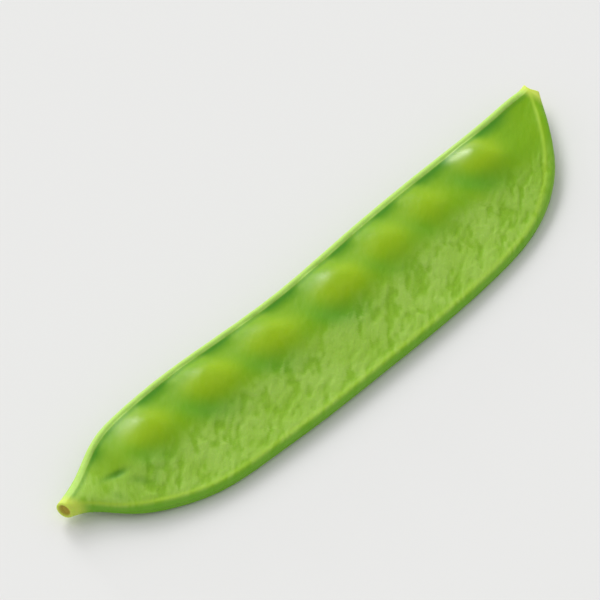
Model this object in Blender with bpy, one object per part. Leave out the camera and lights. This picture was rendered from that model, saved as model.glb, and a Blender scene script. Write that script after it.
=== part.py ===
"""A snow pea pod, picked, lying on its side: one closed solid.

The pod is lofted in its own frame, in millimetres: X runs from the stem end to the beak, Y towards the string
(the ventral seam) and Z up through one face. Each station is a chord from the string edge to the back edge.
The loft is then leaned into the pose in which a real pod rests, on its lowest pea bumps and its back edge.
"""

import math

import bmesh
import bpy
import numpy as np
from mathutils import Euler

NAME = "snow_pea_pod"
MM = 0.001

# Chords of the outline, from the stem scar to the broken beak: (string edge x, y), (back edge x, y).
STATIONS = (
    ((-0.2, 0.5), (0.1, -1.5)),
    ((1.0, 0.7), (1.6, -2.4)),
    ((3.4, 1.3), (3.6, -4.8)),
    ((7.9, 2.9), (7.0, -7.9)),
    ((12.8, 3.5), (12.3, -10.6)),
    ((20.0, 3.2), (20.0, -12.1)),
    ((28.0, 2.3), (28.5, -13.0)),
    ((37.0, 1.4), (37.5, -13.6)),
    ((47.0, 1.2), (47.0, -14.1)),
    ((57.0, 1.0), (57.0, -14.1)),
    ((66.0, 0.6), (65.8, -12.8)),
    ((72.2, 0.4), (72.5, -9.4)),
    ((76.5, 0.4), (76.6, -5.3)),
    ((78.6, 0.4), (79.1, -2.4)),
    ((79.5, 0.5), (80.0, -1.3)),
)

# Peas: place along the pod, distance from the string edge, height of the bump, reach along the pod, all in
# millimetres.
PEAS = (
    (8.8, 3.8, 0.34, 2.6),
    (13.0, 4.0, 0.80, 3.6),
    (22.3, 4.4, 0.96, 4.1),
    (31.4, 4.4, 0.85, 4.1),
    (41.9, 4.5, 0.98, 4.3),
    (50.3, 4.2, 0.72, 3.6),
    (57.5, 3.9, 0.64, 3.4),
    (66.7, 3.3, 0.90, 3.7),
)
PEA_REACH_TO_STRING = 3.2
PEA_REACH_TO_BACK = 3.8
PEA_ROUNDNESS = 1.1
PEA_ROW_DEPTH = 4.4
PEA_ROW_REACH = 4.2
PEA_ROW_SWELL = 0.26

FACE_HALF_THICKNESS = 1.10
BACK_HALF_THICKNESS = 0.78
BACK_ROUNDING = 0.62
BACK_SQUARENESS = 2.4
BEAK_ROUNDING = 1.6
BEAK_EDGE_SWELL = 0.24

STRING_WIDTH = 1.1
STRING_HALF_THICKNESS = 0.80
SEAM_HALF_THICKNESS = 0.66
# Where the wall starts to widen from the seam to the full face, and over what span: beside a pea, and between two.
PEA_WIDENING = (0.3, 1.8)
GAP_WIDENING = (1.4, 3.6)

STEM_HALF_THICKNESS = 1.05
BEAK_HALF_THICKNESS = 0.62
STEM_BLEND = (0.030, 0.105)
BEAK_BLEND = (0.955, 0.995)
SCAR_INSET = 0.62
SCAR_DEPTH = 0.35
BEAK_NOTCH = 0.30

# The pod arches a little along its length and its beak end turns a little about it.
ARCH_RISE = 0.9
TWIST_DEG = 1.6

# Resting pose: leaned about X onto the back edge and pitched about Y onto the end bumps.
LEAN_DEG = 8.95
PITCH_DEG = -0.45
CONTACT_FLAT = 0.15

RINGS = 92
POINTS_AROUND = 32
END_BUNCHING = 0.35
STRING_BUNCHING = 1.4

POD_GREEN = (0.25, 0.46, 0.045, 1.0)
POD_ROUGHNESS = 0.42


def smooth_step(low, high, value):
    """0 below low, 1 above high, and a smooth rise between them."""
    part = np.clip((value - low) / (high - low), 0.0, 1.0)
    return part * part * (3.0 - 2.0 * part)


def hump(value, middle, reach):
    """1 at middle, falling to nothing within about twice the reach on both sides."""
    return np.exp(-(((value - middle) / reach) ** 2))


def ease_in(value, start, span):
    """0 up to start, then a rise that bends gently all the way to 1."""
    return 1.0 - np.exp(-((np.maximum(value - start, 0.0) / span) ** 2))


def natural_spline(knots, values, at):
    """Values of the natural cubic spline through (knots, values), read at the places in at."""
    gap = np.diff(knots)
    system = np.eye(len(knots))
    right = np.zeros_like(values)
    for i in range(1, len(knots) - 1):
        system[i, i - 1 : i + 2] = gap[i - 1], 2.0 * (gap[i - 1] + gap[i]), gap[i]
        slopes = (values[i + 1] - values[i]) / gap[i], (values[i] - values[i - 1]) / gap[i - 1]
        right[i] = 3.0 * (slopes[0] - slopes[1])
    bend = np.linalg.solve(system, right)
    i = np.clip(np.searchsorted(knots, at) - 1, 0, len(gap) - 1)
    step = (at - knots[i])[:, None]
    width = gap[i][:, None]
    slope = (values[i + 1] - values[i]) / width - width * (2.0 * bend[i] + bend[i + 1]) / 3.0
    return values[i] + step * (slope + step * (bend[i] + step * (bend[i + 1] - bend[i]) / (3.0 * width)))


def chords(along):
    """String edge and back edge points at each place along the loft, which runs from 0 to 1."""
    string, back = np.array(STATIONS).transpose(1, 0, 2)
    middle = (string + back) / 2.0
    knots = np.concatenate([[0.0], np.cumsum(np.linalg.norm(np.diff(middle, axis=0), axis=1))])
    knots /= knots[-1]
    return natural_spline(knots, string, along), natural_spline(knots, back, along)


def pea_bumps(x, from_string):
    """Height of the bumps that the peas raise on each face."""
    height = np.zeros_like(x + from_string)
    for place, depth, rise, reach_along in PEAS:
        reach = np.where(from_string < depth, PEA_REACH_TO_STRING, PEA_REACH_TO_BACK)
        apart = ((x - place) / reach_along) ** 2 + ((from_string - depth) / reach) ** 2
        height += rise * np.exp(-(apart**PEA_ROUNDNESS))
    return height


def beside_peas(x):
    """1 beside a full pea, less beside a small one, 0 beside the gap between two peas."""
    return np.clip(sum(rise * hump(x, place, 0.62 * reach) for place, _, rise, reach in PEAS), 0.0, 1.0)


def half_thickness(along, across, x, width):
    """Half the pod's thickness at a place along the loft and a share across its chord, 0 at the string."""
    from_string = across * width
    from_back = (1.0 - across) * width
    swell = FACE_HALF_THICKNESS - BACK_HALF_THICKNESS
    face = BACK_HALF_THICKNESS + swell * smooth_step(1.0, 9.0, from_back)
    row = PEA_ROW_SWELL * hump(from_string, PEA_ROW_DEPTH, PEA_ROW_REACH)
    beside = beside_peas(x)
    start, span = (gap + (pea - gap) * beside for gap, pea in zip(GAP_WIDENING, PEA_WIDENING))
    wall = SEAM_HALF_THICKNESS + (face + row - SEAM_HALF_THICKNESS) * ease_in(from_string, start, span)
    bumps = pea_bumps(x, from_string) * ease_in(from_string, 0.3, 1.0)
    wall = wall * smooth_step(-0.3, 0.5, from_string) + bumps
    blunt = smooth_step(62.0, 76.0, x)
    rounding = BACK_ROUNDING + (BEAK_ROUNDING - BACK_ROUNDING) * blunt
    wall = wall + BEAK_EDGE_SWELL * blunt * hump(from_back, 0.6, 1.6)
    turn = 1.0 - np.clip(from_back / rounding, 0.0, 1.0)
    squareness = BACK_SQUARENESS + blunt
    wall = wall * (1.0 - turn**squareness) ** (1.0 / squareness)
    half_string = STRING_WIDTH / 2.0
    crown = np.clip((from_string - half_string) / half_string, -1.0, 1.0)
    string = STRING_HALF_THICKNESS * np.sqrt(1.0 - crown**2)
    flank = np.maximum(string, wall)
    stub = np.sqrt(np.clip(4.0 * across * (1.0 - across), 0.0, 1.0))
    stem = 1.0 - smooth_step(*STEM_BLEND, along)
    beak = smooth_step(*BEAK_BLEND, along)
    body = flank * (1.0 - stem - beak)
    return body + stub * (stem * STEM_HALF_THICKNESS + beak * BEAK_HALF_THICKNESS)


def spine_lift(x, y):
    """Height of the pod's middle surface: a low arch along it and a slight turn towards the beak."""
    length = STATIONS[-1][0][0]
    share = x / length
    arch = ARCH_RISE * 4.0 * share * (1.0 - share)
    return arch + y * np.sin(math.radians(TWIST_DEG) * (share - 0.5))


def loft():
    """The skin as rings of points, (ring, point around, xyz), without its end caps."""
    even = np.linspace(0.0, 1.0, RINGS)
    along = even + END_BUNCHING * (0.5 - 0.5 * np.cos(math.pi * even) - even)
    turn = np.linspace(0.0, 2.0 * math.pi, POINTS_AROUND, endpoint=False)
    across = ((0.5 - 0.5 * np.cos(turn)) ** STRING_BUNCHING)[None, :]
    string, back = chords(along)
    flat = string[:, None, :] + (back - string)[:, None, :] * across[:, :, None]
    width = np.linalg.norm(back - string, axis=1)[:, None]
    thick = half_thickness(along[:, None], across, flat[..., 0], width)
    side = np.where(turn < math.pi, 1.0, -1.0)[None, :]
    side = np.where(np.isclose(np.sin(turn), 0.0)[None, :], 0.0, side)
    height = spine_lift(flat[..., 0], flat[..., 1]) + side * thick
    return np.dstack([flat, height])


def end_ring(ring, inset, push):
    """A smaller ring inside an end ring, moved along X."""
    centre = ring.mean(axis=0)
    smaller = centre + (ring - centre) * inset
    return smaller + np.array([push, 0.0, 0.0])


def settle(points):
    """Turns the points into the resting pose, stands them on Z 0 and centres them over the origin."""
    turn = np.array(Euler((math.radians(LEAN_DEG), math.radians(PITCH_DEG), 0.0)).to_matrix())
    turned = points @ turn.T
    low, high = turned.min(axis=0), turned.max(axis=0)
    turned -= [(low[0] + high[0]) / 2.0, (low[1] + high[1]) / 2.0, low[2] + CONTACT_FLAT]
    turned[:, 2] = np.maximum(turned[:, 2], 0.0)
    return turned * MM


def pod_mesh():
    """The pod's closed mesh: bridged rings with a recessed cap on the stem scar and on the broken beak."""
    rings = loft()
    scar = end_ring(rings[0], SCAR_INSET, SCAR_DEPTH)
    notch = end_ring(rings[-1], SCAR_INSET, -BEAK_NOTCH)
    rings = np.concatenate([scar[None], rings, notch[None]])
    places = settle(rings.reshape(-1, 3)).reshape(rings.shape)
    made = bmesh.new()
    loops = [[made.verts.new(point) for point in ring] for ring in places]
    for near, far in zip(loops, loops[1:]):
        for i in range(POINTS_AROUND):
            j = (i + 1) % POINTS_AROUND
            made.faces.new((near[i], near[j], far[j], far[i]))
    made.faces.new(loops[0])
    made.faces.new(reversed(loops[-1]))
    bmesh.ops.recalc_face_normals(made, faces=made.faces)
    bmesh.ops.triangulate(made, faces=made.faces)
    mesh = bpy.data.meshes.new(NAME)
    made.to_mesh(mesh)
    made.free()
    mesh.shade_smooth()
    return mesh


def pod_material():
    material = bpy.data.materials.new("pod_skin")
    material.use_nodes = True
    skin = material.node_tree.nodes["Principled BSDF"]
    skin.inputs["Base Color"].default_value = POD_GREEN
    skin.inputs["Roughness"].default_value = POD_ROUGHNESS
    skin.inputs["Metallic"].default_value = 0.0
    return material


def main():
    for leftover in list(bpy.data.objects):
        bpy.data.objects.remove(leftover)
    mesh = pod_mesh()
    mesh.materials.append(pod_material())
    pod = bpy.data.objects.new(NAME, mesh)
    bpy.context.scene.collection.objects.link(pod)


main()
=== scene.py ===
"""A picked snow pea pod lying on its side, with the plain stage it is shown on.

The pod is one skin: both faces, the string seam, the back edge, the broken stalk and the beak grow out of
one another. It is lofted in its own frame, in millimetres, with X from the stalk to the beak, Y towards the
string and Z up through one face. Then it is leaned into its resting pose and stood in the box of its solid.
"""
import math

import bpy
import numpy as np
from bpy.props import FloatProperty, FloatVectorProperty, PointerProperty
from mathutils import Euler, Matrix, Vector


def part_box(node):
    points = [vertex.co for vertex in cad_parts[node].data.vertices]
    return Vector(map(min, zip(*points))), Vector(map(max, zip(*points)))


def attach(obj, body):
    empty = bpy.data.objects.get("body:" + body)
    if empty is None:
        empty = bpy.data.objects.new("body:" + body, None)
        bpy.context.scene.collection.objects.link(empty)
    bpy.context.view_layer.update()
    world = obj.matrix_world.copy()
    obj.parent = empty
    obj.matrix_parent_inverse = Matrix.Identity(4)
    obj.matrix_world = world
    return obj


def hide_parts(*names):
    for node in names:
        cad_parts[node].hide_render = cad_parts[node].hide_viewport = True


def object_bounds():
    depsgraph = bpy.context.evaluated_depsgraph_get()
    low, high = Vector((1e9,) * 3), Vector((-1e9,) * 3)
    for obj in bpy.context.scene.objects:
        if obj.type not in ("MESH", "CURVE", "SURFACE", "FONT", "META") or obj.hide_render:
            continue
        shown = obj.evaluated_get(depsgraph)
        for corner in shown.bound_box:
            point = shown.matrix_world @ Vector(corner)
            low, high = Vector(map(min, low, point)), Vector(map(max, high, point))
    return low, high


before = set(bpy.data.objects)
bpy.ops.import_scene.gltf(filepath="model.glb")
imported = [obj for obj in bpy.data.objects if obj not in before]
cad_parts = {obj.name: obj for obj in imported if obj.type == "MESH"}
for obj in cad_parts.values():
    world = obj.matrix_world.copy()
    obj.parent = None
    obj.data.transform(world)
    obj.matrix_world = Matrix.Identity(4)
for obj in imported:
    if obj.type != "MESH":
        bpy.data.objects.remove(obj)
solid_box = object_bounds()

bl_info = {
    "name": "Snow Pea Pod",
    "version": (1, 0, 0),
    "blender": (4, 5, 0),
    "location": "3D View > Sidebar > Snow Pea",
    "description": "Builds a snow pea pod and the plain stage it lies on",
    "category": "Add Mesh",
}

SOLID = "snow_pea_pod"
PIECE = "pod_skin"
MM = 0.001

# Chords of the outline, from the stalk scar to the broken beak: (string edge x, y), (back edge x, y).
STATIONS = (
    ((-0.2, 0.5), (0.1, -1.5)),
    ((1.0, 0.7), (1.6, -2.4)),
    ((3.4, 1.3), (3.6, -4.8)),
    ((7.9, 2.9), (7.0, -7.9)),
    ((12.8, 3.5), (12.3, -10.6)),
    ((20.0, 3.2), (20.0, -12.1)),
    ((28.0, 2.3), (28.5, -13.0)),
    ((37.0, 1.4), (37.5, -13.6)),
    ((47.0, 1.2), (47.0, -14.1)),
    ((57.0, 1.0), (57.0, -14.1)),
    ((66.0, 0.6), (65.8, -12.8)),
    ((72.2, 0.4), (72.5, -9.4)),
    ((76.5, 0.4), (76.6, -5.3)),
    ((78.6, 0.4), (79.1, -2.4)),
    ((79.5, 0.5), (80.0, -1.3)),
)

# Peas: place along the pod, distance from the string edge, height of the bump, reach along the pod, and how
# taut and shiny the skin is over it.
PEAS = (
    (8.8, 3.8, 0.34, 2.6, 0.0),
    (13.0, 4.0, 0.80, 3.6, 0.42),
    (22.3, 4.4, 0.96, 4.1, 0.18),
    (31.4, 4.4, 0.85, 4.1, 0.05),
    (41.9, 4.5, 0.98, 4.3, 0.36),
    (50.3, 4.2, 0.72, 3.6, 0.0),
    (57.5, 3.9, 0.64, 3.4, 0.0),
    (66.7, 3.3, 0.90, 3.7, 0.95),
)
PEA_REACH_TO_STRING = 3.2
PEA_REACH_TO_BACK = 3.8
PEA_ROUNDNESS = 1.1
FULL_PEA_RISE = 0.9
# The share of a pea's reach along the pod over which it parts the walls beside the string.
PEA_BESIDE_SHARE = 0.62
PEA_ROW_DEPTH = 4.4
PEA_ROW_REACH = 4.2
PEA_ROW_SWELL = 0.26
# The foot of a pea is a crescent: its distance from the pea and its width as shares of the pea's reach, the
# side where it is sharpest as a direction along the pod and away from the string, and its depth. That side
# faces away from the light, and the crescent is also painted darker there as painted shade.
PEA_FOOT_RING = (1.05, 0.32)
PEA_FOOT_SIDE = (-0.72, 0.69)
PEA_FOOT_DEPTH = 0.05
# The pea's own colour shows through the skin most a little off the top of its bump, along the pod and from
# the string. It reaches this far towards the string and towards the back edge.
PEA_GLOW_SHIFT = (0.4, -0.3)
PEA_GLOW_REACH = (2.0, 2.6)
PEA_GLOW_ROUNDNESS = 1.3
# The skin is tautest here from the top of a bump, over this reach, both along the pod and from the string.
TAUT_SHIFT = (-0.5, -1.6)
TAUT_REACH = (1.8, 1.2)

FACE_HALF_THICKNESS = 1.10
BACK_HALF_THICKNESS = 0.78
# From the back edge: where the second of these grows into the first.
FACE_THICKENING = (1.0, 9.0)

BACK_ROUNDING = 0.62
BACK_SQUARENESS = 2.4
BACK_BEAD = 0.05
BACK_BEAD_WIDTH = 0.32
# Towards the beak the back edge grows blunter over this stretch of the pod, and swells beside the edge.
BLUNT_STRETCH = (62.0, 76.0)
BEAK_ROUNDING = 1.6
BEAK_EDGE_SWELL = 0.24
BEAK_SWELL_PLACE = 0.6
BEAK_SWELL_REACH = 1.6

STRING_WIDTH = 1.1
STRING_HALF_THICKNESS = 0.80
# Lumps along the string: their share of its thickness, their length, and their seed.
STRING_LUMPS = ((0.08, 1.7, 21), (0.05, 0.6, 22))
SEAM_HALF_THICKNESS = 0.66
# From the string: where the walls thin away under it.
SEAM_EDGE = (-0.3, 0.5)
# From the string: where the walls part and how soon, beside a pea and beside a gap, and where bumps begin.
PEA_WIDENING = (0.3, 1.8)
GAP_WIDENING = (1.4, 3.6)
BUMP_START = (0.3, 1.0)
# A fine dent runs round the pod where its two halves meet: its depth, the half thickness over which it
# fades, where it sets in past the stalk as shares of the length, and its share at the back edge.
SEAM_DENT = 0.13
SEAM_DENT_REACH = 0.17
SEAM_DENT_START = (0.02, 0.06)
BACK_DENT_SHARE = 0.6

STEM_HALF_THICKNESS = 1.05
BEAK_HALF_THICKNESS = 0.62
# Shares of the length over which the pod rounds off into the stalk and into the beak.
STEM_BLEND = (0.030, 0.105)
BEAK_BLEND = (0.955, 0.995)

# The pod arches a little along its length and its beak end turns a little about it.
ARCH_RISE = 0.9
TWIST_DEG = 1.6

# Resting pose: the lean onto the back edge, the slight tilt along the pod, and how far its lowest points are
# pressed flat.
LEAN_DEG = 8.95
PITCH_DEG = -0.45
CONTACT_FLAT = 0.15

# Caps: each ring's size against the end ring and how far it moves along the pod, in millimetres.
STEM_CAP = (
    (0.94, -0.10),
    (0.84, -0.14),
    (0.74, -0.10),
    (0.64, 0.02),
    (0.50, 0.12),
    (0.32, 0.15),
    (0.14, 0.10),
)
BEAK_CAP = (
    (0.90, 0.05),
    (0.78, 0.04),
    (0.62, -0.08),
    (0.44, -0.22),
    (0.24, -0.30),
)
BEAK_NOTCH = 0.55
BEAK_NOTCH_START = 0.985
# The dry scar in the middle of each cap, by the size of its rings, and how much of it the beak shows.
STEM_SCAR = (0.55, 0.85)
BEAK_SCAR = (0.5, 0.9)
BEAK_SCAR_SHARE = 0.7

# Rings stand closer together at both ends of the pod, and a ring's points closer together at the string.
RINGS = 400
POINTS_AROUND = 236
END_BUNCHING = 0.35
STRING_BUNCHING = 1.15

# Short folds near the stalk: place along the pod, distance from the string, length, width, depth, slant.
CREASES = (
    (6.6, 4.6, 1.2, 0.34, 0.22, 42.0),
    (5.2, 3.4, 0.9, 0.40, 0.07, 35.0),
    (7.6, 7.4, 1.3, 0.45, 0.08, 60.0),
    (9.3, 8.6, 1.0, 0.50, 0.05, -20.0),
    (4.6, 5.6, 1.1, 0.40, 0.06, 70.0),
)
# The depth at which a fold has its full painted shade, and the share of each fold that shows on the
# underside.
DEEP_FOLD = 0.16
UNDER_FOLD_SHARE = 0.5

# Where the faces lie free of the peas, from the string, and how much nearer to it that is by the stalk.
FREE_FACE = (6.0, 9.5)
FREE_FACE_BY_STALK = (2.6, 3.0)
STALK_STRETCH = (6.0, 14.0)
STALK_TIP_STRETCH = (3.0, 8.0)

# Fine relief: the streaks and veins slant from the back edge up to the string, leaning towards the beak. The
# veins are a loose net, whose cells are this many times as long as wide.
VEIN_SLANT_DEG = 39.0
VEIN_STRETCH = 2.8
VEIN_WIDTH = (0.05, 0.42)
VEIN_FADING = 0.35
# How far the warp pushes a vein along itself and across itself, in millimetres.
VEIN_WARP = (0.4, 0.3)
NET_SEED = 17
NET_ORIGIN = (60.0, 40.0)
NET_JITTER = 0.4
# Random layers of the relief: cell size in millimetres, and seed.
LAYERS = {
    "warp": (2.3, 16),
    "fading": (2.9, 18),
    "wave": (6.5, 11),
    "slanted wave": (3.6, 12),
    "coarse patch": (0.75, 13),
    "fine patch": (0.36, 14),
    "pebble": (0.5, 15),
}
SLANTED_WAVE_STRENGTH = 0.6
# The patches are two layers, each with its strength and how long its cells are, cut off flat on top.
COARSE_PATCH = (0.8, 2.8)
FINE_PATCH = (1.1, 2.6)
PATCH_TOP = 0.55
# How much higher and how much paler a patch and a cell of the net can be than the skin between.
CELL_HEIGHT = 0.5
PATCH_TONE = 0.35
CELL_TONE = 0.12
# The underside reads the random layers this far away, so that it has a grain of its own.
UNDERSIDE_SHIFT = 37.3
# The relief keeps clear of the string and the back edge, and is weaker over the peas.
RELIEF_FROM_STRING = (0.9, 2.2)
RELIEF_FROM_BACK = (0.5, 1.6)
RELIEF_OVER_PEAS = 0.2
NOISE_GRID = 128
NOISE_ORIGIN = (31.7, 57.3)

# How strong some colour masks are: the painted shade of the groove beside a pea, the wide painted shade
# there, the crest of the back edge, partly a painted highlight, and how much more of it there is near both
# ends, and what the rim's painted shade loses towards the beak.
GROOVE_BESIDE_PEAS = 0.55
PEA_SHADE = 0.22
CREST_SHARE = 0.35
CREST_MORE_AT_ENDS = 0.38
RIM_LOSS_AT_BEAK = 0.6
# A gap between peas begins where their widening of the seam has fallen to this.
GAP_EDGE = (0.05, 0.5)

# Where the colour masks begin and end, or for a line its middle and reach. From the string:
STRING_SIDE = (0.78, 0.98)
GROOVE_LINE = (1.12, 0.28)
PEA_SHADE_LINE = (2.4, 1.1)
HOLLOW_START = (0.8, 1.1)
# How much of a hollow's painted shade is lost, and from where to where:
HOLLOW_FADES = ((0.85, 1.2, 2.7), (0.15, 3.0, 5.5))
# As half the pod's thickness:
SEAM_LINE = (0.12, 0.46)
# From the back edge, past its rounding:
CREST_INSET = 0.1
CREST_WIDTH = 0.3
# As shares of the back edge's rounding:
RIM_SIDE = (0.15, 0.9)
# Along the pod:
FIRST_GAP = (5.0, 7.5)
LAST_GAP = (72.0, 76.0)
TAIL_STRETCH = (56.0, 76.0)
STALK_CREST = (4.0, 16.0)
# As shares of its length:
STEM_TIP = (0.004, 0.022)
BEAK_TIP = (0.972, 0.996)

# Depth of the bump that the skin's material adds, in metres.
GRAIN_DEPTH = 0.00018
GRAIN_STRENGTH = 0.6

CAMERA_AZIMUTH_DEG = -51.1
CAMERA_ELEVATION_DEG = 46.0
# From the middle of the pod's box to the point that the camera looks at, in metres.
AIM_OFFSET = (-0.0010, 0.0045, 0.0)
# The key light is a row of soft lamps: azimuth, elevation, share of its strength, and spread in degrees.
KEY_ROW = (
    (148.0, 26.0, 0.33, 24.0),
    (156.0, 37.0, 0.33, 24.0),
    (180.0, 46.0, 0.17, 24.0),
    (208.0, 55.0, 0.10, 24.0),
    (158.0, 8.0, 0.13, 9.0),
)
FLOOR_RADIUS = 4.0
FLOOR_CLOUD = (0.7, 0.7, 0.69, 1.0)
SKY_LIGHT = (1.0, 1.0, 1.0, 1.0)
SKY_SEEN = (0.855, 0.855, 0.85, 1.0)


def smooth_step(low, high, value):
    """0 below low, 1 above high, and a smooth rise between them."""
    part = np.clip((value - low) / (high - low), 0.0, 1.0)
    return part * part * (3.0 - 2.0 * part)


def hump(value, middle, reach):
    """1 at middle, falling to nothing within about twice the reach on both sides."""
    return np.exp(-(((value - middle) / reach) ** 2))


def ease_in(value, start, span):
    """0 up to start, then a rise that bends gently all the way to 1."""
    return 1.0 - np.exp(-((np.maximum(value - start, 0.0) / span) ** 2))


def natural_spline(knots, values, at):
    """Values of the natural cubic spline through (knots, values), read at the places in at."""
    gap = np.diff(knots)
    system = np.eye(len(knots))
    right = np.zeros_like(values)
    for i in range(1, len(knots) - 1):
        system[i, i - 1 : i + 2] = gap[i - 1], 2.0 * (gap[i - 1] + gap[i]), gap[i]
        slopes = (values[i + 1] - values[i]) / gap[i], (values[i] - values[i - 1]) / gap[i - 1]
        right[i] = 3.0 * (slopes[0] - slopes[1])
    bend = np.linalg.solve(system, right)
    i = np.clip(np.searchsorted(knots, at) - 1, 0, len(gap) - 1)
    step = (at - knots[i])[:, None]
    width = gap[i][:, None]
    slope = (values[i + 1] - values[i]) / width - width * (2.0 * bend[i] + bend[i + 1]) / 3.0
    return values[i] + step * (slope + step * (bend[i] + step * (bend[i + 1] - bend[i]) / (3.0 * width)))


def soft_noise(across, along, cell, seed):
    """Smooth random values between -1 and 1 over the plane, a new one every cell millimetres."""
    dice = np.random.default_rng(seed).uniform(-1.0, 1.0, (NOISE_GRID, NOISE_GRID))
    u, v = across / cell + NOISE_ORIGIN[0], along / cell + NOISE_ORIGIN[1]
    i, j = np.floor(u).astype(int), np.floor(v).astype(int)
    u, v = u - i, v - j
    u, v = u * u * (3.0 - 2.0 * u), v * v * (3.0 - 2.0 * v)
    corner = {}
    for di in (0, 1):
        for dj in (0, 1):
            corner[di, dj] = dice[(i + di) % NOISE_GRID, (j + dj) % NOISE_GRID]
    near = corner[0, 0] * (1.0 - u) + corner[1, 0] * u
    far = corner[0, 1] * (1.0 - u) + corner[1, 1] * u
    return near * (1.0 - v) + far * v


def chords(along):
    """String edge and back edge points at each place along the loft, which runs from 0 to 1."""
    string, back = np.array(STATIONS).transpose(1, 0, 2)
    middle = (string + back) / 2.0
    knots = np.concatenate([[0.0], np.cumsum(np.linalg.norm(np.diff(middle, axis=0), axis=1))])
    knots /= knots[-1]
    return natural_spline(knots, string, along), natural_spline(knots, back, along)


def pea_bumps(x, from_string):
    """Height of the bumps that the peas raise on each face, how taut the skin is, and the peas' glow."""
    height = np.zeros_like(x + from_string)
    taut, glow = np.zeros_like(height), np.zeros_like(height)
    for place, depth, rise, reach_along, tautness in PEAS:
        reach = np.where(from_string < depth, PEA_REACH_TO_STRING, PEA_REACH_TO_BACK)
        apart = ((x - place) / reach_along) ** 2 + ((from_string - depth) / reach) ** 2
        height += rise * np.exp(-(apart**PEA_ROUNDNESS))
        run, off = x - place - TAUT_SHIFT[0], from_string - depth - TAUT_SHIFT[1]
        taut += tautness * np.exp(-(run / TAUT_REACH[0]) ** 2 - (off / TAUT_REACH[1]) ** 2)
        run, off = x - place - PEA_GLOW_SHIFT[0], from_string - depth - PEA_GLOW_SHIFT[1]
        off = off / np.where(off < 0.0, *PEA_GLOW_REACH)
        apart = (run / reach_along) ** 2 + off**2
        glow += min(rise / FULL_PEA_RISE, 1.0) * np.exp(-(apart**PEA_GLOW_ROUNDNESS))
    return height, taut, np.clip(glow, 0.0, 1.0)


def beside_peas(x):
    """1 beside a full pea, less beside a small one, 0 beside the gap between two peas."""
    peas = sum(rise * hump(x, place, PEA_BESIDE_SHARE * reach) for place, _, rise, reach, _ in PEAS)
    return np.clip(peas, 0.0, 1.0)


def pea_feet(x, from_string):
    """Where the foot of each pea is sharpest: a crescent beside it, on the side away from the light, where
    shade is also painted.
    """
    crescents = np.zeros_like(x + from_string)
    for place, depth, rise, reach_along, _ in PEAS:
        run, off = x - place, from_string - depth
        ring = np.hypot(run / reach_along, off / PEA_REACH_TO_BACK)
        facing = (run * PEA_FOOT_SIDE[0] + off * PEA_FOOT_SIDE[1]) / (np.hypot(run, off) + 0.01)
        crescents += min(rise, 1.0) ** 2 * hump(ring, *PEA_FOOT_RING) * np.clip(facing, 0.0, 1.0) ** 2
    return np.clip(crescents, 0.0, 1.0)


def loose_net(across, along, seed):
    """How far each point lies inside its cell of a loose net of unit cells, and that cell's random tone."""
    dice = np.random.default_rng(seed).uniform(-1.0, 1.0, (NOISE_GRID, NOISE_GRID, 3))
    i, j = np.floor(across).astype(int), np.floor(along).astype(int)
    nearest = np.full(across.shape, np.inf)
    second = np.full(across.shape, np.inf)
    tone = np.zeros(across.shape)
    for di in (-1, 0, 1):
        for dj in (-1, 0, 1):
            spot = dice[(i + di) % NOISE_GRID, (j + dj) % NOISE_GRID]
            off = i + di + 0.5 + NET_JITTER * spot[..., 0] - across
            run = j + dj + 0.5 + NET_JITTER * spot[..., 1] - along
            away = np.hypot(off, run)
            closer = away < nearest
            second = np.where(closer, nearest, np.minimum(second, away))
            tone = np.where(closer, spot[..., 2], tone)
            nearest = np.where(closer, away, nearest)
    return second - nearest, tone


def creases(x, from_string):
    """Depth of the short folds near the stalk."""
    depth = np.zeros_like(x + from_string)
    for place, down, length, width, fold, slant_deg in CREASES:
        slant = math.radians(slant_deg)
        run = (x - place) * math.cos(slant) + (from_string - down) * math.sin(slant)
        off = (from_string - down) * math.cos(slant) - (x - place) * math.sin(slant)
        depth += fold * np.exp(-((run / length) ** 2) - (off / width) ** 2)
    return depth


def open_part(x, from_string):
    """1 where the faces lie free of the peas: on their back half and, wider, beside the stalk."""
    by_stalk = 1.0 - smooth_step(*STALK_STRETCH, x)
    low, high = (place - nearer * by_stalk for place, nearer in zip(FREE_FACE, FREE_FACE_BY_STALK))
    below_peas = smooth_step(low, high, from_string)
    return np.clip(below_peas + 1.0 - smooth_step(*STALK_TIP_STRETCH, x), 0.0, 1.0)


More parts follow.
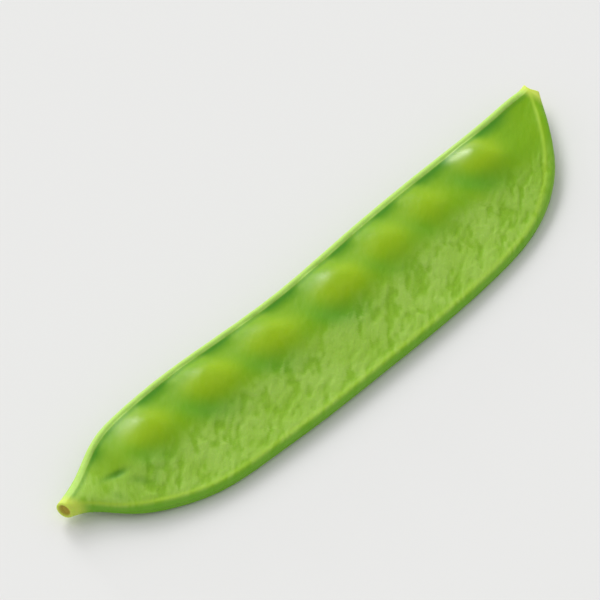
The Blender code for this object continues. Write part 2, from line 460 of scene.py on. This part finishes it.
def relief(x, from_string, side, shape):
    """Fine height of the skin in millimetres, and its net of veins and its paler patches as masks."""
    run = x + np.where(side > 0.0, 0.0, UNDERSIDE_SHIFT)
    slant = math.radians(VEIN_SLANT_DEG)
    warp = soft_noise(run, from_string, *LAYERS["warp"])
    along_vein = run * math.cos(slant) - from_string * math.sin(slant) + VEIN_WARP[0] * warp
    over_vein = run * math.sin(slant) + from_string * math.cos(slant) + VEIN_WARP[1] * warp
    spacing = shape.vein_spacing / MM
    over_net = over_vein / spacing + NET_ORIGIN[0]
    along_net = along_vein / (VEIN_STRETCH * spacing) + NET_ORIGIN[1]
    inside, tone = loose_net(over_net, along_net, NET_SEED)
    fading = 1.0 - VEIN_FADING + VEIN_FADING * soft_noise(over_vein, along_vein, *LAYERS["fading"])
    veins = (1.0 - smooth_step(*VEIN_WIDTH, inside)) * fading
    slanted_wave = soft_noise(over_vein, along_vein, *LAYERS["slanted wave"])
    wave = soft_noise(run, from_string, *LAYERS["wave"]) + SLANTED_WAVE_STRENGTH * slanted_wave
    strength, stretch = COARSE_PATCH
    coarse = strength * soft_noise(over_vein, along_vein / stretch, *LAYERS["coarse patch"])
    strength, stretch = FINE_PATCH
    fine = strength * soft_noise(over_vein, along_vein / stretch, *LAYERS["fine patch"])
    patch = np.minimum(coarse + fine, PATCH_TOP)
    heights = (
        (shape.wave_height, wave),
        (shape.patch_height, patch + CELL_HEIGHT * tone),
        (shape.pebble_height, soft_noise(run, from_string, *LAYERS["pebble"])),
        (shape.vein_height, veins),
    )
    strength = RELIEF_OVER_PEAS + (1.0 - RELIEF_OVER_PEAS) * open_part(x, from_string)
    height = sum(height / MM * part for height, part in heights) * strength
    return height, veins, np.clip(0.5 + PATCH_TONE * patch + CELL_TONE * tone, 0.0, 1.0)


def plain_wall(from_string, from_back, beside):
    """Half thickness of the pod without peas: thin at the back edge, and pinched together at the string."""
    thicker = (FACE_HALF_THICKNESS - BACK_HALF_THICKNESS) * smooth_step(*FACE_THICKENING, from_back)
    row = PEA_ROW_SWELL * hump(from_string, PEA_ROW_DEPTH, PEA_ROW_REACH)
    full = BACK_HALF_THICKNESS + thicker + row
    start, span = (gap + (pea - gap) * beside for gap, pea in zip(GAP_WIDENING, PEA_WIDENING))
    wall = SEAM_HALF_THICKNESS + (full - SEAM_HALF_THICKNESS) * ease_in(from_string, start, span)
    return wall * smooth_step(*SEAM_EDGE, from_string)


def string_thickness(x, from_string):
    """Half thickness of the string, which is round and a little lumpy."""
    half_width = STRING_WIDTH / 2.0
    crown = np.clip((from_string - half_width) / half_width, -1.0, 1.0)
    lumps = sum((share * soft_noise(x, 0.0 * x, cell, seed) for share, cell, seed in STRING_LUMPS), 1.0)
    return STRING_HALF_THICKNESS * lumps * np.sqrt(1.0 - crown**2)


def string_masks(x, from_string, beside, thick):
    """Masks of the string, of its seam, and of the painted shade in the groove and the hollows beside it."""
    between = 1.0 - smooth_step(*GAP_EDGE, beside)
    between = between * smooth_step(*FIRST_GAP, x) * (1.0 - smooth_step(*LAST_GAP, x))
    groove_shade = GROOVE_BESIDE_PEAS + (1.0 - GROOVE_BESIDE_PEAS) * between
    groove_shade = hump(from_string, *GROOVE_LINE) * groove_shade
    fade = 1.0
    for share, low, high in HOLLOW_FADES:
        fade = fade - share * smooth_step(low, high, from_string)
    return {
        "string": 1.0 - smooth_step(*STRING_SIDE, from_string),
        "seam": 1.0 - smooth_step(*SEAM_LINE, thick),
        "groove_shade": groove_shade + PEA_SHADE * hump(from_string, *PEA_SHADE_LINE) * beside,
        "hollow": smooth_step(*HOLLOW_START, from_string) * fade * between,
    }


def edge_masks(x, from_back, rounding, blunt):
    """Masks of the back edge: the pale line where a face meets it, partly a painted highlight, and its side,
    painted darker as shade.
    """
    near_end = np.maximum(1.0 - smooth_step(*STALK_CREST, x), blunt)
    crest_and_highlight = hump(from_back, rounding + CREST_INSET, CREST_WIDTH)
    rim_shade = 1.0 - smooth_step(RIM_SIDE[0] * rounding, RIM_SIDE[1] * rounding, from_back)
    return {
        "crest_and_highlight": crest_and_highlight * (CREST_SHARE + CREST_MORE_AT_ENDS * near_end),
        "rim_shade": rim_shade * (1.0 - RIM_LOSS_AT_BEAK * blunt),
    }


def end_masks(along, across):
    """Masks of both ends. The scar shows on the caps only, which are added later."""
    whole = along + 0.0 * across
    return {
        "stem": 1.0 - smooth_step(*STEM_TIP, whole),
        "beak": smooth_step(*BEAK_TIP, whole),
        "scar": 0.0 * whole,
    }


def section(along, across, side, x, width, shape):
    """Half the pod's thickness over the loft, with the masks that colour it."""
    from_string = across * width
    from_back = (1.0 - across) * width
    bumps, taut, glow = pea_bumps(x, from_string)
    beside = beside_peas(x)
    feet = pea_feet(x, from_string)
    fine, veins, patches = relief(x, from_string, side, shape)
    folds = creases(x, from_string)
    blunt = smooth_step(*BLUNT_STRETCH, x)
    rounding = BACK_ROUNDING + (BEAK_ROUNDING - BACK_ROUNDING) * blunt

    bumps = bumps * ease_in(from_string, *BUMP_START)
    wall = plain_wall(from_string, from_back, beside) + bumps * shape.pea_swell - feet * PEA_FOOT_DEPTH
    wall = wall + BACK_BEAD * hump(from_back, rounding, BACK_BEAD_WIDTH)
    wall = wall + BEAK_EDGE_SWELL * blunt * hump(from_back, BEAK_SWELL_PLACE, BEAK_SWELL_REACH)
    wall = wall + fine * (
        smooth_step(*RELIEF_FROM_STRING, from_string) * smooth_step(*RELIEF_FROM_BACK, from_back)
    )
    wall = wall - folds * np.where(side > 0.0, 1.0, UNDER_FOLD_SHARE)
    turn = 1.0 - np.clip(from_back / rounding, 0.0, 1.0)
    squareness = BACK_SQUARENESS + blunt
    wall = wall * (1.0 - turn**squareness) ** (1.0 / squareness)

    flank = np.maximum(string_thickness(x, from_string), wall)
    stub = np.sqrt(np.clip(4.0 * across * (1.0 - across), 0.0, 1.0))
    stem = 1.0 - smooth_step(*STEM_BLEND, along)
    beak = smooth_step(*BEAK_BLEND, along)
    thick = flank * (1.0 - stem - beak) + stub * (stem * STEM_HALF_THICKNESS + beak * BEAK_HALF_THICKNESS)

    masks = {
        "pea": glow,
        "taut": taut,
        # flank marks painted shade at each pea's foot, away from the light; fold marks painted shade in the
        # folds.
        "flank": feet,
        "veins": veins,
        "patches": patches,
        "fold": np.clip(folds / DEEP_FOLD, 0.0, 1.0),
        "open": open_part(x, from_string),
        "tail": smooth_step(*TAIL_STRETCH, x),
        **string_masks(x, from_string, beside, thick),
        **edge_masks(x, from_back, rounding, blunt),
        **end_masks(along, across),
    }
    return thick, masks, from_string


def spine_lift(x, y):
    """Height of the pod's middle surface: a low arch along it and a slight turn towards the beak."""
    share = x / STATIONS[-1][0][0]
    arch = ARCH_RISE * 4.0 * share * (1.0 - share)
    return arch + y * np.sin(math.radians(TWIST_DEG) * (share - 0.5))


def loft(shape):
    """The skin without its caps: points by ring and point around, and masks and places laid out alike."""
    even = np.linspace(0.0, 1.0, RINGS)
    along = (even + END_BUNCHING * (0.5 - 0.5 * np.cos(math.pi * even) - even))[:, None]
    turn = np.linspace(0.0, 2.0 * math.pi, POINTS_AROUND, endpoint=False)
    across = ((0.5 - 0.5 * np.cos(turn)) ** STRING_BUNCHING)[None, :]
    side = np.where(np.isclose(np.sin(turn), 0.0), 0.0, np.where(turn < math.pi, 1.0, -1.0))[None, :]
    string, back = chords(along[:, 0])
    chord = back - string
    width = np.linalg.norm(chord, axis=1)[:, None]
    flat = string[:, None, :] + chord[:, None, :] * across[:, :, None]
    thick, masks, from_string = section(along, across, side, flat[..., 0], width, shape)
    inward = chord / width
    dent = SEAM_DENT * hump(thick, 0.0, SEAM_DENT_REACH) * smooth_step(*SEAM_DENT_START, along)
    dent = dent * (1.0 - masks["beak"]) * np.where(across < 0.5, 1.0, -BACK_DENT_SHARE)
    flat = flat + inward[:, None, :] * dent[:, :, None]
    notch = BEAK_NOTCH * smooth_step(BEAK_NOTCH_START, 1.0, along) * (1.0 - (2.0 * across - 1.0) ** 2)
    height = spine_lift(flat[..., 0], flat[..., 1]) + side * thick
    points = np.dstack([flat[..., 0] - notch, flat[..., 1], height])
    place = np.dstack([flat[..., 0], from_string, side + 0.0 * thick])
    return points, masks, place


def cap(ring, steps):
    """Smaller rings inside an end ring, each moved along X."""
    centre = ring.mean(axis=0)
    return [centre + (ring - centre) * size + np.array([push, 0.0, 0.0]) for size, push in steps]


def closed_skin(shape):
    """Rings from the middle of the stalk scar to the middle of the beak, with masks and places."""
    points, masks, place = loft(shape)
    scar = cap(points[0], STEM_CAP)[::-1]
    tip = cap(points[-1], BEAK_CAP)
    rings = np.concatenate([scar, points, tip])
    first, last = len(scar), len(tip)
    grown = {}
    for name, mask in masks.items():
        mask = np.broadcast_to(mask, points.shape[:2])
        grown[name] = np.concatenate([np.repeat(mask[:1], first, 0), mask, np.repeat(mask[-1:], last, 0)])
    sizes = np.array([size for size, _ in STEM_CAP])[::-1, None]
    grown["scar"][:first] = 1.0 - smooth_step(*STEM_SCAR, sizes)
    sizes = np.array([size for size, _ in BEAK_CAP])[:, None]
    grown["scar"][-last:] = BEAK_SCAR_SHARE * (1.0 - smooth_step(*BEAK_SCAR, sizes))
    place = np.concatenate([np.repeat(place[:1], first, 0), place, np.repeat(place[-1:], last, 0)])
    return rings, grown, place


def settle(points):
    """Turns the points into the resting pose and stands them in the box of the pod's solid."""
    low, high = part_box(SOLID)
    turn = np.array(Euler((math.radians(LEAN_DEG), math.radians(PITCH_DEG), 0.0)).to_matrix())
    turned = points @ turn.T * MM
    least, most = turned.min(axis=0), turned.max(axis=0)
    turned[:, :2] += np.array((low + high) / 2.0)[:2] - (least + most)[:2] / 2.0
    turned[:, 2] += low.z - least[2] - CONTACT_FLAT * MM
    turned[:, 2] = np.maximum(turned[:, 2], low.z)
    return turned


def skin_faces(rings):
    """Quads between neighbouring rings and a fan of triangles at each end; the two middles come last."""
    around = np.arange(POINTS_AROUND)
    after = (around + 1) % POINTS_AROUND
    faces = []
    for i in range(rings - 1):
        near, far = i * POINTS_AROUND, (i + 1) * POINTS_AROUND
        faces.extend(np.stack([near + around, near + after, far + after, far + around], 1).tolist())
    stem, beak, last = rings * POINTS_AROUND, rings * POINTS_AROUND + 1, (rings - 1) * POINTS_AROUND
    faces.extend(np.stack([np.full_like(around, stem), after, around], 1).tolist())
    faces.extend(np.stack([last + around, last + after, np.full_like(around, beak)], 1).tolist())
    return faces


def pod_mesh(shape):
    """The pod's closed mesh with its masks as attributes, which the skin's material reads."""
    rings, masks, place = closed_skin(shape)
    points = settle(rings.reshape(-1, 3))
    ends = points.reshape(rings.shape)[[0, -1]].mean(axis=1)
    mesh = bpy.data.meshes.new(PIECE)
    mesh.from_pydata(np.concatenate([points, ends]), [], skin_faces(len(rings)))
    for name, mask in masks.items():
        values = np.concatenate([mask.ravel(), mask[0, :1], mask[-1, :1]]).astype(np.float32)
        mesh.attributes.new("pod_" + name, "FLOAT", "POINT").data.foreach_set("value", values)
    values = np.concatenate([place.reshape(-1, 3), place[0, :1], place[-1, :1]]).astype(np.float32)
    mesh.attributes.new("pod_place", "FLOAT_VECTOR", "POINT").data.foreach_set("vector", values.ravel())
    mesh.shade_smooth()
    mesh.update()
    return mesh


class Nodes:
    """Short hands for laying out one material's nodes. A value may be a number or another node's socket."""

    def __init__(self, name):
        self.material = bpy.data.materials.new(name)
        self.material.use_nodes = True
        self.tree = self.material.node_tree
        self.shader = self.tree.nodes["Principled BSDF"]

    def add(self, kind, **settings):
        """A new node with these settings."""
        node = self.tree.nodes.new(kind)
        for name, value in settings.items():
            setattr(node, name, value)
        return node

    def feed(self, socket, value):
        """Links a socket into an input, or sets the input to a constant."""
        if isinstance(value, bpy.types.NodeSocket):
            self.tree.links.new(value, socket)
        else:
            socket.default_value = value

    def mask(self, name):
        """One of the masks that the mesh carries."""
        return self.add("ShaderNodeAttribute", attribute_name="pod_" + name).outputs["Fac"]

    def place(self, stretch, turn_deg=0.0):
        """Place on the flat pod, from the stalk and from the string, turned and then stretched."""
        source = self.add("ShaderNodeAttribute", attribute_name="pod_place").outputs["Vector"]
        if turn_deg:
            spin = self.add("ShaderNodeVectorRotate", rotation_type="Z_AXIS")
            self.feed(spin.inputs["Vector"], source)
            self.feed(spin.inputs["Angle"], math.radians(turn_deg))
            source = spin.outputs["Vector"]
        scale = self.add("ShaderNodeVectorMath", operation="MULTIPLY")
        self.feed(scale.inputs[0], source)
        self.feed(scale.inputs[1], stretch)
        return scale.outputs["Vector"]

    def noise(self, where, detail=2.0, roughness=0.5):
        """Soft random values around 0.5."""
        node = self.add("ShaderNodeTexNoise", noise_dimensions="3D")
        self.feed(node.inputs["Vector"], where)
        self.feed(node.inputs["Scale"], 1.0)
        self.feed(node.inputs["Detail"], detail)
        self.feed(node.inputs["Roughness"], roughness)
        return node.outputs["Fac"]

    def math(self, operation, first, second=0.0, clamp=False):
        """A sum, product or difference of two values."""
        node = self.add("ShaderNodeMath", operation=operation, use_clamp=clamp)
        self.feed(node.inputs[0], first)
        self.feed(node.inputs[1], second)
        return node.outputs[0]

    def spread(self, value, from_low, from_high, to_low=0.0, to_high=1.0):
        """A value brought smoothly from one range to another and held at its ends."""
        node = self.add("ShaderNodeMapRange", interpolation_type="SMOOTHSTEP")
        for socket, number in zip(node.inputs[:5], (value, from_low, from_high, to_low, to_high)):
            self.feed(socket, number)
        return node.outputs["Result"]

    def blend(self, share, first, second):
        """The first colour with a share of the second laid over it."""
        node = self.add("ShaderNodeMix", data_type="RGBA", blend_type="MIX")
        colours = [socket for socket in node.inputs if socket.type == "RGBA"]
        self.feed(node.inputs["Factor"], share)
        self.feed(colours[0], first)
        self.feed(colours[1], second)
        return next(socket for socket in node.outputs if socket.type == "RGBA")

    def paint(self, colour, *layers):
        """A colour with others laid over it in order, each by a mask and its strength."""
        for name, strength, over in layers:
            colour = self.blend(self.math("MULTIPLY", self.mask(name), strength), colour, tuple(over))
        return colour


def ground_colour(nodes, colours, mottle):
    """The greens of the faces and the peas, in slow clouds."""
    colour = nodes.blend(nodes.spread(mottle, 0.3, 0.7), tuple(colours.face), tuple(colours.face_deep))
    # The back half is paler partly from its wax bloom and partly from painted sheen.
    colour = nodes.paint(colour, ("open", 0.6, colours.back_face), ("tail", 0.6, colours.face_deep))
    colour = nodes.blend(nodes.spread(nodes.mask("pea"), 0.05, 0.95), colour, tuple(colours.pea))
    # Painted shade: each pea's foot crescent, on the side away from the light, is painted a darker green.
    return nodes.paint(colour, ("flank", 0.85, colours.flank))


def grain_colour(nodes, colours, colour, mottle, speck):
    """The pale patches, veins and specks of the free faces, and the deeper green between the patches."""
    # The pale patches, veins and specks are partly the wax bloom's own colour and partly painted sheen.
    bloom_and_sheen = nodes.spread(nodes.mask("open"), 0.0, 1.0, 0.04, 0.37)
    bloom_and_sheen = nodes.math("MULTIPLY", bloom_and_sheen, nodes.spread(nodes.mask("tail"), 0.0, 1.0, 1.0, 0.5))
    bloom_and_sheen = nodes.math("MULTIPLY", bloom_and_sheen, nodes.spread(mottle, 0.3, 0.65, 0.5, 1.15))
    for name, low, high, strength in (("patches", 0.12, 0.66, 1.0), ("veins", 0.0, 1.0, 0.18)):
        lighter = nodes.math("MULTIPLY", nodes.spread(nodes.mask(name), low, high, 0.0, strength), bloom_and_sheen)
        colour = nodes.blend(lighter, colour, tuple(colours.streak))
    lighter = nodes.math("MULTIPLY", nodes.spread(speck, 0.5, 0.8), nodes.math("MULTIPLY", bloom_and_sheen, 0.6))
    colour = nodes.blend(lighter, colour, tuple(colours.streak))
    dent = nodes.spread(nodes.mask("patches"), 0.0, 0.62, 0.38, 0.0)
    dent = nodes.math("MULTIPLY", dent, nodes.mask("open"))
    return nodes.blend(dent, colour, tuple(colours.face_deep))


def edge_colour(nodes, colours, colour):
    """The groove, the back edge, the string with its seam, and both tips."""
    # Painted shade: the hollows, the groove and the folds take the dark groove green, and the back edge's
    # side the rim green. The crest line is partly the edge's own paler colour and partly a painted
    # highlight.
    colour = nodes.paint(
        colour,
        ("hollow", 0.8, colours.groove_shade),
        ("groove_shade", 0.85, colours.groove_shade),
        ("fold", 0.7, colours.groove_shade),
        ("crest_and_highlight", 1.0, colours.crest_and_highlight),
        ("rim_shade", 0.85, colours.rim_shade),
        ("string", 1.0, colours.string),
    )
    seam = nodes.math("MULTIPLY", nodes.mask("seam"), nodes.mask("string"))
    colour = nodes.blend(nodes.math("MULTIPLY", seam, 0.75), colour, tuple(colours.seam))
    return nodes.paint(
        colour,
        ("beak", 0.9, colours.tip),
        ("stem", 0.8, colours.tip),
        ("scar", 1.0, colours.scar),
    )


def skin_roughness(nodes, streak):
    """Roughness that follows the streaks, less where the skin is taut, more on scars and in hollows."""
    rough = nodes.spread(streak, 0.3, 0.7, 0.42, 0.52)
    rough = nodes.math("SUBTRACT", rough, nodes.math("MULTIPLY", nodes.mask("taut"), 0.10))
    for name in ("scar", "hollow"):
        more = nodes.spread(nodes.mask(name), 0.0, 1.0, 0.0, 0.35)
        rough = nodes.math("ADD", rough, more, clamp=True)
    return rough


def skin_bump(nodes, streak, speck):
    """Normals of the finest grain, which is weaker over the peas."""
    grain = nodes.math("ADD", streak, nodes.math("MULTIPLY", speck, 0.35))
    grain = nodes.math("MULTIPLY", grain, nodes.spread(nodes.mask("open"), 0.0, 1.0, 0.3, 1.0))
    bump = nodes.add("ShaderNodeBump")
    nodes.feed(bump.inputs["Strength"], GRAIN_STRENGTH)
    nodes.feed(bump.inputs["Distance"], GRAIN_DEPTH)
    nodes.feed(bump.inputs["Height"], grain)
    return bump.outputs["Normal"]


def skin_material(colours):
    """Waxy pea skin: greens by place on the pod, mottling, streaks, gloss and fine bump."""
    nodes = Nodes("waxy_pod_skin")
    mottle = nodes.noise(nodes.place((0.22, 0.22, 1.0)))
    streak = nodes.noise(nodes.place((0.9, 1.7, 1.0), VEIN_SLANT_DEG))
    speck = nodes.noise(nodes.place((2.6, 2.6, 1.0)), roughness=0.6)

    colour = ground_colour(nodes, colours, mottle)
    colour = grain_colour(nodes, colours, colour, mottle, speck)
    colour = edge_colour(nodes, colours, colour)

    skin = nodes.shader.inputs
    nodes.feed(skin["Base Color"], colour)
    nodes.feed(skin["Roughness"], skin_roughness(nodes, streak))
    nodes.feed(skin["Normal"], skin_bump(nodes, streak, speck))
    nodes.feed(skin["Coat Weight"], nodes.mask("taut"))
    skin["Coat Roughness"].default_value = 0.3
    skin["Coat IOR"].default_value = 1.5
    skin["Subsurface Weight"].default_value = 0.25
    skin["Subsurface Radius"].default_value = (0.7, 1.0, 0.25)
    skin["Subsurface Scale"].default_value = 0.0012
    skin["IOR"].default_value = 1.36
    skin["Specular IOR Level"].default_value = 0.13
    return nodes.material


def stage_material(colour):
    """Matt pale floor with faint clouds."""
    nodes = Nodes("pale_floor")
    tone = nodes.noise(nodes.add("ShaderNodeTexCoord").outputs["Object"])
    shade = nodes.blend(nodes.spread(tone, 0.3, 0.7, 0.0, 0.05), tuple(colour), FLOOR_CLOUD)
    nodes.feed(nodes.shader.inputs["Base Color"], shade)
    nodes.shader.inputs["Roughness"].default_value = 0.9
    nodes.shader.inputs["Specular IOR Level"].default_value = 0.1
    return nodes.material


def length(name, default, description):
    """A setting that is a length, in metres."""
    return FloatProperty(
        name=name,
        description=description,
        default=default,
        min=0.0,
        soft_max=default * 3.0,
        precision=5,
        unit="LENGTH",
    )


def colour(name, default, description):
    """A setting that is a colour, given as linear red, green and blue."""
    return FloatVectorProperty(
        name=name,
        description=description,
        default=(*default, 1.0),
        size=4,
        min=0.0,
        max=1.0,
        subtype="COLOR",
    )


def amount(name, default, description, **limits):
    """A setting that is a plain number."""
    return FloatProperty(name=name, description=description, default=default, **limits)


class PodShape(bpy.types.PropertyGroup):
    """Sizes of the pod's skin that can vary from pod to pod."""

    pea_swell: amount("Pea Swell", 1.0, "How full the peas are", min=0.0, max=1.3)
    wave_height: length("Wave Height", 0.00009, "Height of the slow waves on both faces")
    patch_height: length("Patch Height", 0.00006, "Height of the fine patches")
    pebble_height: length("Pebble Height", 0.000012, "Height of the skin's pebbling")
    vein_height: length("Vein Height", 0.000028, "Height of the slanting veins")
    vein_spacing: length("Vein Spacing", 0.0012, "Distance between neighbouring veins")


class PodColours(bpy.types.PropertyGroup):
    """Colours of the pod's skin."""

    face: colour("Face", (0.218, 0.414, 0.005), "The flat part of each face")
    face_deep: colour("Deep Face", (0.190, 0.400, 0.008), "The darker clouds of each face")
    # Partly the wax bloom's own colour, partly painted sheen.
    back_face: colour("Back Half", (0.325, 0.580, 0.062), "The half of each face beside the back edge")
    pea: colour("Peas", (0.294, 0.480, 0.009), "The bumps over the peas")
    # Painted shade on the bumps' slopes away from the light.
    flank: colour("Pea Flanks", (0.125, 0.390, 0.026), "The slopes of the bumps on the back edge's side")
    # Partly the wax bloom's own colour, partly painted sheen.
    streak: colour("Streaks", (0.450, 0.655, 0.145), "The pale streaks and specks")
    # Painted shade in the groove, the hollows and the folds.
    groove_shade: colour("Groove", (0.068, 0.252, 0.018), "The groove and the hollows beside the string")
    string: colour("String", (0.440, 0.680, 0.140), "The string along the seam")
    seam: colour("Seam", (0.230, 0.470, 0.035), "The seam along the middle of the string")
    # Partly the edge's own paler colour, partly a painted highlight where the edge turns.
    crest_and_highlight: colour("Crest", (0.375, 0.580, 0.045), "The line where a face meets the back edge")
    # Painted shade on the side of the back edge.
    rim_shade: colour("Rim", (0.170, 0.430, 0.030), "The side of the back edge")
    tip: colour("Tips", (0.660, 0.770, 0.120), "The broken stalk and the beak")
    scar: colour("Scar", (0.430, 0.340, 0.050), "The dry middle of the stalk scar")


class StageLook(bpy.types.PropertyGroup):
    """Light, floor and camera of the stage."""

    floor: colour("Floor", (0.80, 0.80, 0.79), "Colour of the floor")
    key_strength: amount("Key Light", 2.4, "Strength of the soft key light", min=0.0)
    sky_strength: amount("Sky Light", 0.60, "Strength of the light all round", min=0.0)
    view_width: length("View Width", 0.0643, "Width of what the camera frames at the pod")
    lens: amount("Lens", 600.0, "Focal length in millimetres", min=20.0)


class SNOWPEA_OT_add_pod(bpy.types.Operator):
    """Builds the pod's skin in the place of its plain solid"""

    bl_idname = "snowpea.add_pod"
    bl_label = "Add Pod"

    def execute(self, context):
        scene = context.scene
        pod = bpy.data.objects.new(PIECE, pod_mesh(scene.snowpea_shape))
        scene.collection.objects.link(pod)
        pod.data.materials.append(skin_material(scene.snowpea_colours))
        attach(pod, "root")
        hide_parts(SOLID)
        return {"FINISHED"}


def direction(azimuth_deg, elevation_deg):
    """Unit vector from the pod towards a place round it; azimuth 0 is in front of it, on its -Y side."""
    a, e = math.radians(azimuth_deg), math.radians(elevation_deg)
    return Vector((math.sin(a) * math.cos(e), -math.cos(a) * math.cos(e), math.sin(e)))


class SNOWPEA_OT_add_stage(bpy.types.Operator):
    """Builds the floor, the soft light and the camera"""

    bl_idname = "snowpea.add_stage"
    bl_label = "Add Stage"

    def execute(self, context):
        scene = context.scene
        look = scene.snowpea_stage
        low, high = solid_box
        self.add_floor(scene, look, low.z)
        self.add_light(scene, look)
        self.add_camera(scene, look, (low + high) / 2.0 + Vector(AIM_OFFSET))
        return {"FINISHED"}

    def add_floor(self, scene, look, height):
        """Lays the floor under the pod."""
        mesh = bpy.data.meshes.new("floor")
        corners = ((-1, -1), (1, -1), (1, 1), (-1, 1))
        points = [(x * FLOOR_RADIUS, y * FLOOR_RADIUS, height) for x, y in corners]
        mesh.from_pydata(points, [], [(0, 1, 2, 3)])
        mesh.materials.append(stage_material(look.floor))
        floor = bpy.data.objects.new("floor", mesh)
        scene.collection.objects.link(floor)

    def add_light(self, scene, look):
        """Sets up the row of lamps, the sky's light, and the plain tone that the camera sees as sky."""
        for azimuth, elevation, share, spread in KEY_ROW:
            sun = bpy.data.lights.new("key", "SUN")
            sun.energy = look.key_strength * share
            sun.angle = math.radians(spread)
            key = bpy.data.objects.new("key", sun)
            key.rotation_euler = direction(azimuth, elevation).to_track_quat("Z", "Y").to_euler()
            scene.collection.objects.link(key)
        world = scene.world or bpy.data.worlds.new("sky")
        scene.world = world
        world.use_nodes = True
        tree = world.node_tree
        sky = tree.nodes["Background"]
        sky.inputs["Color"].default_value = SKY_LIGHT
        sky.inputs["Strength"].default_value = look.sky_strength
        seen = tree.nodes.new("ShaderNodeBackground")
        seen.inputs["Color"].default_value = SKY_SEEN
        ray = tree.nodes.new("ShaderNodeLightPath")
        choose = tree.nodes.new("ShaderNodeMixShader")
        tree.links.new(ray.outputs["Is Camera Ray"], choose.inputs[0])
        tree.links.new(sky.outputs[0], choose.inputs[1])
        tree.links.new(seen.outputs[0], choose.inputs[2])
        tree.links.new(choose.outputs[0], tree.nodes["World Output"].inputs["Surface"])
        scene.view_settings.view_transform = "Standard"

    def add_camera(self, scene, look, target):
        """Aims the camera at a point, as far off as the view's width needs."""
        data = bpy.data.cameras.new("camera")
        data.lens = look.lens
        back = direction(CAMERA_AZIMUTH_DEG, CAMERA_ELEVATION_DEG)
        camera = bpy.data.objects.new("camera", data)
        camera.location = target + back * (look.view_width * look.lens / data.sensor_width)
        camera.rotation_euler = back.to_track_quat("Z", "Y").to_euler()
        scene.collection.objects.link(camera)
        scene.camera = camera


class SNOWPEA_PT_sidebar(bpy.types.Panel):
    """Lists the pod's and the stage's settings with the buttons that build them"""

    bl_label = "Snow Pea Pod"
    bl_space_type = "VIEW_3D"
    bl_region_type = "UI"
    bl_category = "Snow Pea"

    def draw(self, context):
        scene = context.scene
        for settings, button in (
            (scene.snowpea_shape, None),
            (scene.snowpea_colours, SNOWPEA_OT_add_pod.bl_idname),
            (scene.snowpea_stage, SNOWPEA_OT_add_stage.bl_idname),
        ):
            box = self.layout.box()
            for name in settings.__annotations__:
                box.prop(settings, name)
            if button:
                box.operator(button)


CLASSES = (
    PodShape,
    PodColours,
    StageLook,
    SNOWPEA_OT_add_pod,
    SNOWPEA_OT_add_stage,
    SNOWPEA_PT_sidebar,
)


def register():
    """Adds the classes and the scene's settings to Blender."""
    for made in CLASSES:
        bpy.utils.register_class(made)
    bpy.types.Scene.snowpea_shape = PointerProperty(type=PodShape)
    bpy.types.Scene.snowpea_colours = PointerProperty(type=PodColours)
    bpy.types.Scene.snowpea_stage = PointerProperty(type=StageLook)


def unregister():
    """Takes them away again."""
    for name in ("snowpea_shape", "snowpea_colours", "snowpea_stage"):
        delattr(bpy.types.Scene, name)
    for made in reversed(CLASSES):
        bpy.utils.unregister_class(made)


def main():
    """Registers the add-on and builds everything."""
    register()
    bpy.ops.snowpea.add_pod()
    bpy.ops.snowpea.add_stage()


if __name__ == "__main__":
    main()
